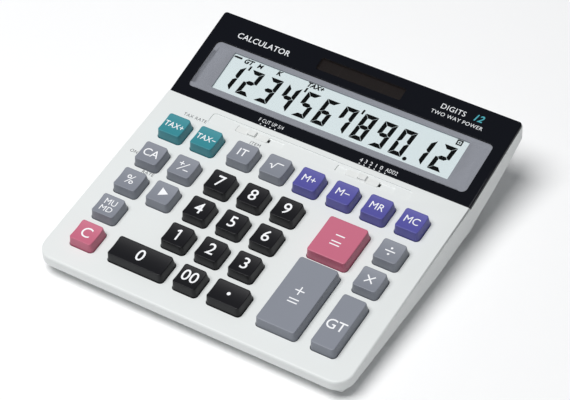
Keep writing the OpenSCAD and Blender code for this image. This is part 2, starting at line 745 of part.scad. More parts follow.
// Flat cable glued under the rear edge of one board and the front edge of the other
module ribbon_cable() {
    half_t = 0.15;
    low = deck_point(board_back - ribbon_grip, board_bottom - half_t);
    low_edge = deck_point(board_back, board_bottom - half_t - 0.02);
    high_edge = panel_point(window_mid - panel_board_h / 2, panel_board_bottom - half_t - 0.02);
    high = panel_point(window_mid - panel_board_h / 2 + ribbon_grip, panel_board_bottom - half_t);
    color([0.9, 0.88, 0.8]) from_front() across(ribbon_w)
        for (leg = [[low, low_edge], [low_edge, high_edge], [high_edge, high]]) {
            run = leg[1] - leg[0];
            turn = atan2(run[1], run[0]);
            translate(leg[0]) rotate(turn) translate([0, -half_t]) square([norm(run), 2 * half_t]);
            translate(leg[0]) circle(half_t);
        }
}

// ---- Battery ----

module button_cell()
    color([0.78, 0.78, 0.8]) from_front() translate([cell_x, battery_y, cell_z]) {
        cylinder(r = cell_d / 2, h = cell_h - 0.6);
        translate([0, 0, cell_h - 0.6 - eps]) cylinder(r = cell_d / 2 - 1.2, h = 0.6 + eps);
    }

// Both contacts rise to the underside of the main board
module under_board()
    difference() {
        from_front() children();
        on_deck() translate([-body_w, -10, board_bottom]) cube([2 * body_w, 2 * deck_len, 30]);
    }

module cell_contact_plus()
    color([0.8, 0.8, 0.82]) under_board()
        translate([cell_x + cell_d / 2, battery_y - 2, cell_z + 1]) cube([contact_t, 4, 20]);

module cell_contact_minus()
    color([0.8, 0.8, 0.82]) under_board()
        translate([cell_x, battery_y, cell_z + cell_h]) {
            translate([-3, -1.5, 0]) cube([6, 3, contact_t]);
            translate([-3, -1.5, 0]) cube([contact_t, 3, 20]);
        }

module battery_cover()
    color([0.86, 0.87, 0.87]) from_front() difference() {
        translate([battery_x, battery_y, floor_z]) plate(cover_w, cover_d, cover_t, 1.5);
        translate([cover_screw_x, battery_y, floor_z - eps]) cylinder(r = small_head_r + fit_clear, h = 0.9);
        translate([cover_screw_x, battery_y, 0]) cylinder(r = small_screw_r + 0.2, h = 9);
        for (i = [-2:2])
            translate([battery_x - cover_w / 2 + 4 + i * 1.2, battery_y, floor_z - eps])
                translate([-0.3, -5, 0]) cube([0.6, 10, 0.4]);
    }

module battery_cover_screw()
    color([0.75, 0.75, 0.77]) from_front()
        translate([cover_screw_x, battery_y, floor_z + 0.05])
            screw(small_head_r, 0.85 - eps, small_screw_r, 4);

top_case();
bottom_case();
bezel_with_pegs();  // display_bezel
display_window();
window_mask();
solar_window();
solar_cell();
solar_leads();
lcd_cell();
lcd_reflector();
lcd_holder();
zebra_strip();
display_board();
ribbon_cable();
controller_chip();
main_board();
board_screws();
key_mat();
case_screws();
rubber_feet();
button_cell();
cell_contact_plus();
cell_contact_minus();
battery_cover();
battery_cover_screw();
rounding_slider();
rounding_wiper();
decimal_slider();
decimal_wiper();
for (k = KEYS)
    key_cap(k);
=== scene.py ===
import json
import math

import bmesh
import bpy
from mathutils import Matrix, Vector


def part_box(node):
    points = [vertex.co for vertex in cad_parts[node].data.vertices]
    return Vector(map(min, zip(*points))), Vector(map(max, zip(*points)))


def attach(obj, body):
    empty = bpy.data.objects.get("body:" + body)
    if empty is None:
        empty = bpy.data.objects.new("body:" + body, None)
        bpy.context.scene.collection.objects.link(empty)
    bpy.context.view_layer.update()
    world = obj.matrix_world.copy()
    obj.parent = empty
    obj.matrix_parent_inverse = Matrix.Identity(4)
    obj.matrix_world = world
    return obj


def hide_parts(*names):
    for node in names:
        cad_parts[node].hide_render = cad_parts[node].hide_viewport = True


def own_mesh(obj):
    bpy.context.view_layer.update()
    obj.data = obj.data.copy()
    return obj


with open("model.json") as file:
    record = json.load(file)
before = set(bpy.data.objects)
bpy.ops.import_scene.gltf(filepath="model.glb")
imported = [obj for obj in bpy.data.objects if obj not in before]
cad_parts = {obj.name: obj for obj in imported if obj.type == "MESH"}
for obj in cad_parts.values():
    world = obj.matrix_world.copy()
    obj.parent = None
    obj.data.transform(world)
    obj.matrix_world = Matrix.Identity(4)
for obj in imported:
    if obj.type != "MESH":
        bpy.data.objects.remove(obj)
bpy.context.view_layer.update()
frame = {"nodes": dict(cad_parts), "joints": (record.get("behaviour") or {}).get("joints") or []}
MM = 0.001

# ---- Camera, paper floor and soft lights ----
# The calculator lies on a sheet of white paper in a small light tent. One broad
# soft light hangs over it, a little to the left, and the walls of the tent fill in.
scene = bpy.context.scene
scene.view_settings.view_transform = "Standard"


def srgb(red, green, blue):
    """A colour given from 0 to 255, as the shader's linear values."""
    parts = []
    for part in (red, green, blue):
        share = part / 255
        parts.append(share / 12.92 if share <= 0.04045 else ((share + 0.055) / 1.055) ** 2.4)
    return (*parts, 1.0)


camera = bpy.data.objects.new("camera", bpy.data.cameras.new("camera"))
camera.data.lens = 150.74
camera.data.sensor_width = 36
camera.location = (0.51194, -0.75231, 0.91238)
camera.rotation_euler = [math.radians(turn) for turn in (45.4144, 2.2745, 31.8800)]
scene.collection.objects.link(camera)
scene.camera = camera


LIGHT_AIM = Vector((0, 0, 0.01))


def soft_light(name, place, width, power):
    """A round lamp that faces the calculator, with its place and width in metres."""
    lamp = bpy.data.lights.new(name, "AREA")
    lamp.shape = "DISK"
    lamp.size = width
    lamp.energy = power
    light = bpy.data.objects.new(name, lamp)
    light.location = place
    light.rotation_euler = (Vector(place) - LIGHT_AIM).to_track_quat("Z", "Y").to_euler()
    scene.collection.objects.link(light)


soft_light("overhead_light", place=(-0.35, -0.45, 1.8), width=1.35, power=34.5)
tent = bpy.data.worlds.new("light_tent")
tent.use_nodes = True
tent_walls = tent.node_tree.nodes["Background"]
tent_walls.inputs["Color"].default_value = (0.93, 0.96, 1.0, 1.0)
tent_walls.inputs["Strength"].default_value = 0.2
scene.world = tent

# Sockets of the Mix node when it mixes two colours.
MIX_FACTOR, MIX_LOW, MIX_HIGH, MIX_RESULT = 0, 6, 7, 2
MOTTLE_SCALE = 45
GLOSS_SWING = 0.06
RELIEF_STRENGTH = 0.6


def grained(name, colour, rough, grain=0.35, depth=0.006, mottle=0.03, shine=0.5, metal=0.0):
    """A moulded, rolled or printed surface: a fine grain in the relief and the gloss,
    and a broad, faint unevenness in the colour. Grain and depth are in millimetres."""
    material = bpy.data.materials.new(name)
    material.use_nodes = True
    nodes = material.node_tree.nodes
    link = material.node_tree.links.new
    shader = nodes["Principled BSDF"]
    place = nodes.new("ShaderNodeTexCoord")
    fine = nodes.new("ShaderNodeTexNoise")
    fine.inputs["Scale"].default_value = 1 / (grain * MM)
    fine.inputs["Detail"].default_value = 3
    broad = nodes.new("ShaderNodeTexNoise")
    broad.inputs["Scale"].default_value = MOTTLE_SCALE
    broad.inputs["Detail"].default_value = 4
    for noise in (fine, broad):
        link(place.outputs["Object"], noise.inputs["Vector"])
    tone = nodes.new("ShaderNodeMix")
    tone.data_type = "RGBA"
    tone.inputs[MIX_LOW].default_value = (*[c * (1 - mottle) for c in colour[:3]], 1)
    tone.inputs[MIX_HIGH].default_value = (*[min(c * (1 + mottle), 1) for c in colour[:3]], 1)
    link(broad.outputs["Fac"], tone.inputs[MIX_FACTOR])
    link(tone.outputs[MIX_RESULT], shader.inputs["Base Color"])
    gloss = nodes.new("ShaderNodeMapRange")
    gloss.inputs["To Min"].default_value = max(rough - GLOSS_SWING, 0.02)
    gloss.inputs["To Max"].default_value = rough + GLOSS_SWING
    link(fine.outputs["Fac"], gloss.inputs["Value"])
    link(gloss.outputs["Result"], shader.inputs["Roughness"])
    relief = nodes.new("ShaderNodeBump")
    relief.inputs["Strength"].default_value = RELIEF_STRENGTH
    relief.inputs["Distance"].default_value = depth * MM
    link(fine.outputs["Fac"], relief.inputs["Height"])
    link(relief.outputs["Normal"], shader.inputs["Normal"])
    shader.inputs["Metallic"].default_value = metal
    shader.inputs["Specular IOR Level"].default_value = shine
    return material


FLOOR_REACH = 4     # metres from the middle to each side
floor_bm = bmesh.new()
bmesh.ops.create_grid(floor_bm, x_segments=2, y_segments=2, size=FLOOR_REACH)
floor_mesh = bpy.data.meshes.new("paper_floor")
floor_bm.to_mesh(floor_mesh)
floor_bm.free()
floor_mesh.materials.append(grained("paper", (0.97, 0.97, 0.97, 1), 0.9, grain=0.8, mottle=0.004))
floor = bpy.data.objects.new("paper_floor", floor_mesh)
scene.collection.objects.link(floor)

# ---- Top case ----
# One white ABS moulding that carries the keyboard deck and the shelf under the
# display. Its rim is rounded over, and each key comes up through its own hole.
HALF_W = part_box("top_case")[1].x / MM
FRONT_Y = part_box("top_case")[0].y / MM
DECK_TILT = math.asin(next(j for j in frame["joints"] if j["name"].endswith("_press"))["axis"][1])
DECK_FRONT_Z = 13.2
DECK_LENGTH = 130.5
PANEL_TILT = math.radians(13.5)
MERGE_DISTANCE = 0.002
FLAT_ANGLE = math.radians(0.4)
CORNER_ANGLE = math.radians(40)
CREASE_ANGLE = math.radians(35)
on_deck = (Matrix.Scale(MM, 4) @ Matrix.Translation((0, FRONT_Y, DECK_FRONT_Z))
           @ Matrix.Rotation(DECK_TILT, 4, "X"))
on_panel = (on_deck @ Matrix.Translation((0, DECK_LENGTH, 0))
            @ Matrix.Rotation(PANEL_TILT - DECK_TILT, 4, "X"))
to_deck = on_deck.inverted()
to_panel = on_panel.inverted()


def copy_of(node, view):
    """A merged copy of a CAD node in millimetres on a slope, its flat areas joined."""
    bm = bmesh.new()
    bm.from_mesh(frame["nodes"][node].data)
    bmesh.ops.remove_doubles(bm, verts=bm.verts, dist=MERGE_DISTANCE * MM)
    bmesh.ops.transform(bm, matrix=view, verts=bm.verts)
    bmesh.ops.dissolve_limit(bm, angle_limit=FLAT_ANGLE, use_dissolve_boundaries=False,
                             verts=bm.verts, edges=bm.edges)
    return bm


def round_over(bm, radius, steps, chosen):
    """Bevels each outward corner edge that chosen(middle, normals) accepts."""
    edges = []
    for edge in bm.edges:
        if len(edge.link_faces) == 2 and edge.calc_face_angle_signed() > CORNER_ANGLE:
            middle = (edge.verts[0].co + edge.verts[1].co) / 2
            if chosen(middle, [face.normal for face in edge.link_faces]):
                edges.append(edge)
    bmesh.ops.bevel(bm, geom=edges, offset=radius, offset_type="OFFSET", segments=steps,
                    profile=0.5, affect="EDGES", clamp_overlap=True, material=-1)


def finished(bm, name, body, material, view, nodes=(), tidy=True):
    """Turns a bmesh into a piece that rides on a body, smooth but for its creases."""
    bmesh.ops.transform(bm, matrix=view, verts=bm.verts)
    mesh = bpy.data.meshes.new(name)
    bm.to_mesh(mesh)
    bm.free()
    mesh.shade_smooth()
    mesh.set_sharp_from_angle(angle=CREASE_ANGLE)
    mesh.materials.append(material)
    piece = bpy.data.objects.new(name, mesh)
    scene.collection.objects.link(piece)
    if tidy:
        weighted = piece.modifiers.new("even_shading", "WEIGHTED_NORMAL")
        weighted.keep_sharp = True
    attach(piece, body)
    if nodes:
        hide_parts(*nodes)
    return piece


def at_surface(at, normals):
    """True for an edge of the slope's own flat face."""
    return abs(at.z) < 0.02 and max(normal.z for normal in normals) > 0.999


def meets_wall(at, normals):
    """True for an edge between the slope's flat face and a wall that stands on it."""
    return at_surface(at, normals) and min(abs(normal.z) for normal in normals) < 0.15


white_abs = grained("white_abs", srgb(226, 229, 228), 0.42, grain=0.3, depth=0.004, mottle=0.015)
CASE_RIM_R = 1.2
CASE_HOLE_R = 0.3
DECK_END = DECK_LENGTH - 0.5
RIM_X, RIM_Y = HALF_W - 11, 6       # the rim's edges lie outside these lines
HOLES_X, HOLES_Y = HALF_W - 8, 8    # and the holes' edges lie inside these
case_bm = copy_of("top_case", to_deck)
round_over(case_bm, CASE_RIM_R, 5, lambda at, n: meets_wall(at, n)
           and (abs(at.x) > RIM_X or at.y < RIM_Y) and at.y < DECK_END)
round_over(case_bm, CASE_HOLE_R, 2, lambda at, n: meets_wall(at, n)
           and abs(at.x) < HOLES_X and HOLES_Y < at.y < DECK_END)
finished(case_bm, "top_case_shell", "case", white_abs, on_deck, ["top_case"])

# ---- Display bezel ----
# A glossy black cover of acrylic-capped ABS over the rear of the case, with a
# rounded rim and an opening for each window. Pegs hold it to the shelf.
gloss_black = grained("gloss_black", srgb(12, 14, 21), 0.13, grain=1.2,
                      depth=0.001, mottle=0.05, shine=0.22)
BEZEL_RIM_R = 0.9
WINDOW_RIM_R = 0.3
INNER_X, INNER_Y = 92, 56           # the windows lie inside these lines
bezel_bm = copy_of("display_bezel", to_panel)
round_over(bezel_bm, BEZEL_RIM_R, 5, lambda at, n: at_surface(at, n)
           and (abs(at.x) > INNER_X or at.y > INNER_Y))
round_over(bezel_bm, WINDOW_RIM_R, 3, lambda at, n: at_surface(at, n)
           and abs(at.x) < INNER_X and at.y < INNER_Y)
finished(bezel_bm, "bezel_cover", "case", gloss_black, on_panel, ["display_bezel"])

# ---- Keys ----
# Each key is a hollow ABS cap with drafted sides, a small rounded edge and a top
# dished from front to back. A flange holds it under the deck, and a stem presses
# its rubber dome.
KEY_TOP = 6.0
KEY_LEAN = 0.7
EDGE_R = 0.42
CORNER_R = 1.5
FLANGE_REACH = 1.2
FLANGE_TOP, FLANGE_BOTTOM = -2.5, -3.5
KEY_WALL = 1.2
STEM_R = 1.8
STEM_END = -4.4
STEM_ROOT = 0.3         # how far the stem runs up into the cap's top wall
GRID_STEP = 1.3
INNER_RING = 0.9


def spread(length, edge_lines):
    """Grid lines from one side to the other, crowded into the rounded edges."""
    inner = length / 2 - edge_lines[-1]
    count = max(round(2 * inner / GRID_STEP), 2)
    middle = [-inner + 2 * inner * i / count for i in range(1, count)]
    low = [line - length / 2 for line in edge_lines]
    return low + middle + [-line for line in reversed(low)]


def roll_corner(x, y, width, depth, radius):
    """Moves a point of a square grid onto rings that run round the corners."""
    a, b = width / 2 - abs(x), depth / 2 - abs(y)
    inset = min(a, b)
    if max(a, b) < radius:
        left = radius - inset
        turn = math.radians(45) * (radius - max(a, b)) / left
        near, far = radius - left * math.cos(turn), radius - left * math.sin(turn)
        a, b = (near, far) if a <= b else (far, near)
    return math.copysign(width / 2 - a, x), math.copysign(depth / 2 - b, y), inset


def dish(y, depth, sink):
    """The level of the dished top against its front and rear edges."""
    return -sink * (1 - (2 * y / depth) ** 2)


def swell(point, width, depth, radius, grow):
    """Moves a point of a rounded outline out by an even distance."""
    px = max(abs(point.x) - (width / 2 - radius), 0)
    py = max(abs(point.y) - (depth / 2 - radius), 0)
    reach = math.hypot(px, py)
    point.x += grow * math.copysign(px / reach, point.x)
    point.y += grow * math.copysign(py / reach, point.y)


def key_cap(width, depth, sink):
    """A cap centred on its own middle, with the deck's surface at zero."""
    bm = bmesh.new()
    rings = [EDGE_R * (1 - math.cos(math.radians(a))) for a in (0, 22.5, 45, 67.5, 90)]
    rings += [INNER_RING, CORNER_R]
    xs, ys = spread(width, rings), spread(depth, rings)
    bmesh.ops.create_grid(bm, x_segments=len(xs) - 1, y_segments=len(ys) - 1, size=1)
    for vert in bm.verts:
        column = round((vert.co.x + 1) / 2 * (len(xs) - 1))
        row = round((vert.co.y + 1) / 2 * (len(ys) - 1))
        x, y, inset = roll_corner(xs[column], ys[row], width, depth, CORNER_R)
        roll = max(EDGE_R - inset, 0)
        drop = EDGE_R - math.sqrt(max(EDGE_R ** 2 - roll ** 2, 0))
        vert.co = Vector((x, y, KEY_TOP + dish(y, depth, sink) - drop))
    rim = [edge for edge in bm.edges if edge.is_boundary]
    ceiling = KEY_TOP - sink - KEY_WALL
    steps = [(KEY_LEAN, 0.0), (0, FLANGE_TOP), (FLANGE_REACH, FLANGE_TOP), (0, FLANGE_BOTTOM),
             (-FLANGE_REACH - KEY_LEAN - KEY_WALL, FLANGE_BOTTOM), (0, ceiling)]
    grown = 0.0
    for grow, level in steps:
        made = bmesh.ops.extrude_edge_only(bm, edges=rim)["geom"]
        lower = {item for item in made if isinstance(item, bmesh.types.BMVert)}
        rim = [item for item in made if isinstance(item, bmesh.types.BMEdge)
               and item.verts[0] in lower and item.verts[1] in lower]
        for vert in lower:
            swell(vert.co, width + 2 * grown, depth + 2 * grown, CORNER_R + grown, grow)
            vert.co.z = level
        grown += grow
    bmesh.ops.contextual_create(bm, geom=rim)
    stem_top = ceiling + STEM_ROOT
    bmesh.ops.create_cone(bm, cap_ends=True, segments=20, radius1=STEM_R, radius2=STEM_R,
                          depth=stem_top - STEM_END,
                          matrix=Matrix.Translation((0, 0, (stem_top + STEM_END) / 2)))
    bmesh.ops.recalc_face_normals(bm, faces=bm.faces)
    return bm


KEY_FINISH = {
    "key_black": grained("key_black_abs", srgb(18, 18, 22), 0.36, grain=0.25, depth=0.004, shine=0.28),
    "key_grey": grained("key_grey_abs", srgb(131, 135, 145), 0.42, grain=0.25, depth=0.004),
    "key_teal": grained("key_teal_abs", srgb(50, 136, 147), 0.4, grain=0.25, depth=0.004),
    "key_violet": grained("key_violet_abs", srgb(82, 80, 158), 0.4, grain=0.25, depth=0.004),
    "key_pink": grained("key_pink_abs", srgb(196, 102, 127), 0.42, grain=0.25, depth=0.004)}
LARGE_KEYS = ("key_plus_equals", "key_minus_equals", "key_grand_total")
LARGE_SINK, USUAL_SINK = 0.2, 0.6
key_place = {}      # the middle of each key on the deck, its depth and its dish
for name in sorted(n for n in frame["nodes"] if n.startswith("key_") and n != "key_mat"):
    points = [to_deck @ vert.co for vert in frame["nodes"][name].data.vertices]
    low = [min(point[i] for point in points) for i in (0, 1)]
    high = [max(point[i] for point in points) for i in (0, 1)]
    across, along = (low[0] + high[0]) / 2, (low[1] + high[1]) / 2
    width = high[0] - low[0] - 2 * (FLANGE_REACH + KEY_LEAN)
    depth = high[1] - low[1] - 2 * (FLANGE_REACH + KEY_LEAN)
    sink = LARGE_SINK if name in LARGE_KEYS else USUAL_SINK
    key_place[name] = (across, along, depth, sink)
    finish = frame["nodes"][name].data.materials[0].name
    finished(key_cap(width, depth, sink), name + "_cap", name, KEY_FINISH[finish],
             on_deck @ Matrix.Translation((across, along, 0)), [name], tidy=False)

# ---- Legends on the keys ----
# White letters, digits and signs moulded through the tops of the keys. They stand
# a hair proud of the dish, so that they show cleanly, and follow its curve.
LEGEND_DEPTH = 0.3
LEGEND_PROUD = 0.02
CAPITAL_SHARE = 0.7     # a capital's height as a share of the size of the type
MARK_MERGE = 1e-4
legend_white = grained("legend_white", srgb(244, 245, 247), 0.45, grain=0.3, mottle=0.01)


def lettering(text, height, weight=0.0, slant=0.0, stretch=1.0, spacing=1.0):
    """Flat letters as a bmesh in millimetres, centred on their own middle."""
    curve = bpy.data.curves.new("lettering", "FONT")
    curve.body = text
    curve.size = height / CAPITAL_SHARE
    curve.offset = weight
    curve.shear = slant
    curve.align_x = "CENTER"
    curve.space_character = spacing
    curve.resolution_u = 4
    holder = bpy.data.objects.new("lettering", curve)
    scene.collection.objects.link(holder)
    drawn = holder.evaluated_get(bpy.context.evaluated_depsgraph_get())
    flat = bpy.data.meshes.new_from_object(drawn)
    bm = bmesh.new()
    bm.from_mesh(flat)
    bpy.data.objects.remove(holder)
    bpy.data.curves.remove(curve)
    bpy.data.meshes.remove(flat)
    middle = [(min(vert.co[i] for vert in bm.verts) + max(vert.co[i] for vert in bm.verts)) / 2
              for i in (0, 1)]
    for vert in bm.verts:
        vert.co = Vector(((vert.co.x - middle[0]) * stretch, vert.co.y - middle[1], 0))
    return bm


def bar(width, depth, turn=0.0):
    """A flat bar on its own middle, turned by some degrees."""
    bm = bmesh.new()
    bmesh.ops.create_grid(bm, x_segments=1, y_segments=1, size=0.5)
    bmesh.ops.scale(bm, vec=(width, depth, 1), verts=bm.verts)
    bmesh.ops.rotate(bm, matrix=Matrix.Rotation(math.radians(turn), 3, "Z"), verts=bm.verts)
    return bm


def disc(radius, count=24):
    bm = bmesh.new()
    bmesh.ops.create_circle(bm, cap_ends=True, segments=count, radius=radius)
    return bm


def gather(parts):
    """Joins (bmesh, x, y) parts into one bmesh."""
    whole = bmesh.new()
    for part, x, y in parts:
        bmesh.ops.translate(part, vec=(x, y, 0), verts=part.verts)
        scrap = bpy.data.meshes.new("scrap")
        part.to_mesh(scrap)
        part.free()
        whole.from_mesh(scrap)
        bpy.data.meshes.remove(scrap)
    return whole


def raised(bm, thick):
    """Gives flat marks a thickness below their face, as closed solids."""
    bmesh.ops.remove_doubles(bm, verts=bm.verts, dist=MARK_MERGE)
    bmesh.ops.recalc_face_normals(bm, faces=bm.faces)
    for face in bm.faces:
        if face.normal.z < 0:
            face.normal_flip()
    made = bmesh.ops.extrude_face_region(bm, geom=list(bm.faces), use_keep_orig=True)["geom"]
    for vert in made:
        if isinstance(vert, bmesh.types.BMVert):
            vert.co.z -= thick
    bmesh.ops.recalc_face_normals(bm, faces=bm.faces)
    return bm


def triangle(size):
    bm = bmesh.new()
    bmesh.ops.create_circle(bm, cap_ends=True, segments=3, radius=size)
    bmesh.ops.rotate(bm, matrix=Matrix.Rotation(math.radians(-90), 3, "Z"), verts=bm.verts)
    return bm


def strokes(lines, thick):
    """Straight strokes with square ends, given as pairs of points."""
    parts = []
    for x0, y0, x1, y1 in lines:
        run = math.hypot(x1 - x0, y1 - y0)
        turn = math.degrees(math.atan2(y1 - y0, x1 - x0))
        parts.append((bar(run, thick, turn), (x0 + x1) / 2, (y0 + y1) / 2))
    return gather(parts)


PLUS = [(-2.7, 0, 2.7, 0), (0, -2.7, 0, 2.7)]
LEGENDS = {
    "key_tax_plus": [(lettering("TAX+", 3.7, 0.03, stretch=0.9), 0, 0)],
    "key_tax_minus": [(lettering("TAX−", 3.7, 0.03, stretch=0.9), 0, 0)],
    "key_item": [(lettering("IT", 5.0, 0.03), 0, 0.3)],
    "key_root": [(strokes([(-3.8, 0.1, -2.7, 0.6), (-2.7, 0.6, -1.4, -2.2), (-1.4, -2.2, 0, 2.2),
                           (-0.1, 2.2, 4.0, 2.2)], 0.6), 0, 0.1)],
    "key_memory_plus": [(lettering("M+", 4.6, stretch=0.95), 0, 0.4)],
    "key_memory_minus": [(lettering("M−", 4.6, stretch=0.95), 0, 0.4)],
    "key_memory_recall": [(lettering("MR", 4.6, stretch=0.95), 0, 0.4)],
    "key_memory_clear": [(lettering("MC", 4.6, stretch=0.95), 0, 0.4)],
    "key_all_clear": [(lettering("CA", 5.0, 0.03), 0, 0.3)],
    "key_sign": [(lettering("+", 4.2, 0.04), -1.9, 1.9), (bar(7.8, 0.55, 50), 0, 0),
                 (bar(3.2, 0.6), 2.4, -2.0)],
    "key_percent": [(lettering("%", 5.8), 0, 0.2)],
    "key_backspace": [(triangle(3.3), 0, 0.5)],
    "key_markup": [(lettering("MU", 3.7), 0, 2.5), (lettering("MD", 3.7), 0, -2.3)],
    "key_clear": [(lettering("C", 6.5, 0.03), 0, 0.1)],
    "key_divide": [(bar(5.8, 0.7), 0, 0.2), (disc(0.65), 0, 2.3), (disc(0.65), 0, -1.9)],
    "key_multiply": [(strokes([(-2.3, -2.3, 2.3, 2.3), (-2.3, 2.3, 2.3, -2.3)], 0.75), 0, 0.1)],
    "key_00": [(lettering("00", 6.9, 0.06), 0, 0.5)],
    "key_point": [(disc(1.05), 0, 0.2)],
    "key_plus_equals": [(strokes(PLUS, 0.7), 0, 2.6), (bar(5.8, 0.7), 0, -3.3),
                        (bar(5.8, 0.7), 0, -5.4)],
    "key_minus_equals": [(bar(5.4, 0.7), 0, 2.8), (bar(5.8, 0.7), 0, -1.5), (bar(5.8, 0.7), 0, -3.6)],
    "key_grand_total": [(lettering("GT", 6.0, 0.04), 0, -2.4)]}
for digit in "0123456789":
    LEGENDS["key_" + digit] = [(lettering(digit, 7.2, 0.06), 0, 0.3)]
LEGENDS["key_1"] = [(strokes([(-1.5, 2.2, 0.2, 3.3), (0.3, 3.6, 0.3, -3.6)], 1.0), 0, 0.3)]
for name, parts in LEGENDS.items():
    across, along, depth, sink = key_place[name]
    mark = raised(gather(parts), LEGEND_DEPTH)
    for vert in mark.verts:
        vert.co.z += KEY_TOP + LEGEND_PROUD + dish(vert.co.y, depth, sink)
    finished(mark, name + "_legend", name, legend_white,
             on_deck @ Matrix.Translation((across, along, 0)), tidy=False)

# ---- Digits of the display ----
# Black liquid crystal segments on the upper glass, slanted, with the small signs
# for the calculator's modes above them.
lcd_black = grained("lcd_black", srgb(3, 5, 5), 0.5, grain=0.5, mottle=0.02, shine=0.05)
LCD_LEVEL = -2.085
DIGIT_W, DIGIT_H, STROKE, SLANT = 8.2, 17.6, 2.6, 0.09
FIRST_X, DIGIT_STEP, DIGIT_Y = -68.6, 12.2, 23.35
SEGMENT_GAP = 0.12
TICK_W, TICK_H, TICK_Y = 1.2, 3.2, 32.2     # the marks between thousands
POINT_R, POINT_Y = 1.25, 14.6
LCD_INK = 0.01
SEGMENTS = {"0": "abcdef", "1": "bc", "2": "abged", "3": "abgcd", "4": "fgbc", "5": "afgcd",
            "6": "afgedc", "7": "fabc", "8": "abcdefg", "9": "abcdfg"}


def segment(letter):
    """One bar of a digit, mitred to its neighbours, drawn on the digit's own middle."""
    w, h, gap, half = DIGIT_W / 2, DIGIT_H / 2, SEGMENT_GAP, STROKE / 2
    if letter == "g":
        points = [(-w + half + gap, 0), (-w + STROKE + gap, -half), (w - STROKE - gap, -half),
                  (w - half - gap, 0), (w - STROKE - gap, half), (-w + STROKE + gap, half)]
    elif letter in "ad":
        points = [(gap - w, h), (gap + STROKE - w, h - STROKE),
                  (w - STROKE - gap, h - STROKE), (w - gap, h)]
    else:
        points = [(w, h - gap), (w - STROKE, h - STROKE - gap), (w - STROKE, half + gap),
                  (w - half, gap), (w, gap)]
    across = -1 if letter in "ef" else 1
    along = -1 if letter in "cde" else 1
    bm = bmesh.new()
    bm.faces.new([bm.verts.new((across * px, along * py, 0)) for px, py in points])
    return bm, 0, 0


def leaning(bm):
    """Slants a digit or a mark to the right."""
    for vert in bm.verts:
        vert.co.x += SLANT * vert.co.y
    return bm


shown = []
for place, digit in enumerate("123456789012"):
    x = FIRST_X + place * DIGIT_STEP
    shown.append((leaning(gather([segment(letter) for letter in SEGMENTS[digit]])), x, DIGIT_Y))
for place in (1, 4, 7):
    shown.append((leaning(bar(TICK_W, TICK_H)), FIRST_X + (place - 0.5) * DIGIT_STEP + 0.8, TICK_Y))
shown.append((disc(POINT_R), FIRST_X + 9.5 * DIGIT_STEP - 0.3, POINT_Y))
boxed_sign = gather([(bar(0.8, 3.6), -1.4, 0), (bar(0.8, 3.6), 1.4, 0), (bar(2.4, 0.8), 0, 1.37),
                     (bar(2.4, 0.8), 0, -1.37), (disc(0.55), 0, 0)])
shown += [(bar(5.0, 1.2), -71.8, 36.2), (lettering("GT", 2.9, 0.2, 0.2), -64.2, 35.7),
          (lettering("M", 2.9, 0.09, 0.2), -56.9, 35.7), (lettering("K", 2.9, 0.2, 0.2), -44.4, 36.0),
          (lettering("TAX+", 2.9, 0.18, 0.2), -21.0, 36.2), (boxed_sign, 69.3, 35.9)]
finished(raised(gather(shown), LCD_INK), "lcd_digits", "case", lcd_black,
         on_panel @ Matrix.Translation((0, 0, LCD_LEVEL)), tidy=False)

# ---- Prints on the bezel and the deck ----
# Pad-printed signs: the positions of the two switches on the cover, with a dot for
# each, plain words about the type, and small words beside some of the keys.
print_white = grained("print_white_ink", srgb(232, 234, 236), 0.5, grain=0.3, mottle=0.01)
print_teal = grained("print_teal_ink", srgb(58, 160, 172), 0.5, grain=0.3, mottle=0.01)
print_grey = grained("print_grey_ink", srgb(74, 76, 82), 0.6, grain=0.3, mottle=0.02)
INK = 0.012
DOT_R = 0.38
cover_print = [(lettering("F CUT UP 5/4", 2.3, stretch=0.74, spacing=1.12), -30.1, 3.5)]
cover_print += [(disc(DOT_R, 12), x, 0.9) for x in (-35.7, -32.7, -29.6, -26.4)]
cover_print += [(lettering(text, 2.4), x, 3.2)
                for text, x in (("4", 27.1), ("3", 30.1), ("2", 33.3), ("1", 36.4), ("0", 39.6))]
cover_print += [(lettering("ADD2", 2.4, stretch=0.75, spacing=1.1), 45.9, 3.2)]
cover_print += [(disc(DOT_R, 12), x, 0.8) for x in (27.1, 30.1, 33.3, 36.4, 39.6, 42.95)]
cover_print += [(lettering("DIGITS", 3.3, spacing=1.08), 57.0, 52.4),
                (lettering("TWO WAY POWER", 2.3, stretch=1.02, spacing=1.1), 61.5, 47.4),
                (lettering("CALCULATOR", 3.6, 0.03, spacing=1.04), -62.0, 48.6)]
finished(raised(gather(cover_print), INK), "bezel_print", "case", print_white,
         on_panel @ Matrix.Translation((0, 0, INK)), tidy=False)
digit_count = [(lettering("12", 4.3, 0.1, 0.25), 72.5, 53.0)]
finished(raised(gather(digit_count), INK), "bezel_print_teal", "case", print_teal,
         on_panel @ Matrix.Translation((0, 0, INK)), tidy=False)
deck_print = [(lettering(text, 2.1, spacing=1.1), x, y)
              for text, x, y in (("TAX RATE", -70.5, 119.2), ("ON", -87.4, 83.4),
                                 ("RATE", -71.5, 73.4), ("ITEM", -30.4, 117.6))]
finished(raised(gather(deck_print), INK), "deck_print", "case", print_grey,
         on_deck @ Matrix.Translation((0, 0, INK)), tidy=False)

# ---- Slide switches ----
# Two white ABS sliders with a ribbed finger piece, in shallow tracks before the
# display. Each rides with its bronze wiper over the contacts on the board.
slider_abs = grained("slider_abs", srgb(226, 228, 226), 0.4, grain=0.3, depth=0.004)
SLIDER_EDGE = 0.16
SLIDER_SHOWN = -1.0     # edges above this level can be seen
for name, switch in (("rounding_slider", "rounding_switch"), ("decimal_slider", "decimal_switch")):
    slider_bm = copy_of(name, to_deck)
    round_over(slider_bm, SLIDER_EDGE, 2, lambda at, n: at.z > SLIDER_SHOWN)
    finished(slider_bm, name + "_moulding", switch, slider_abs, on_deck, [name])

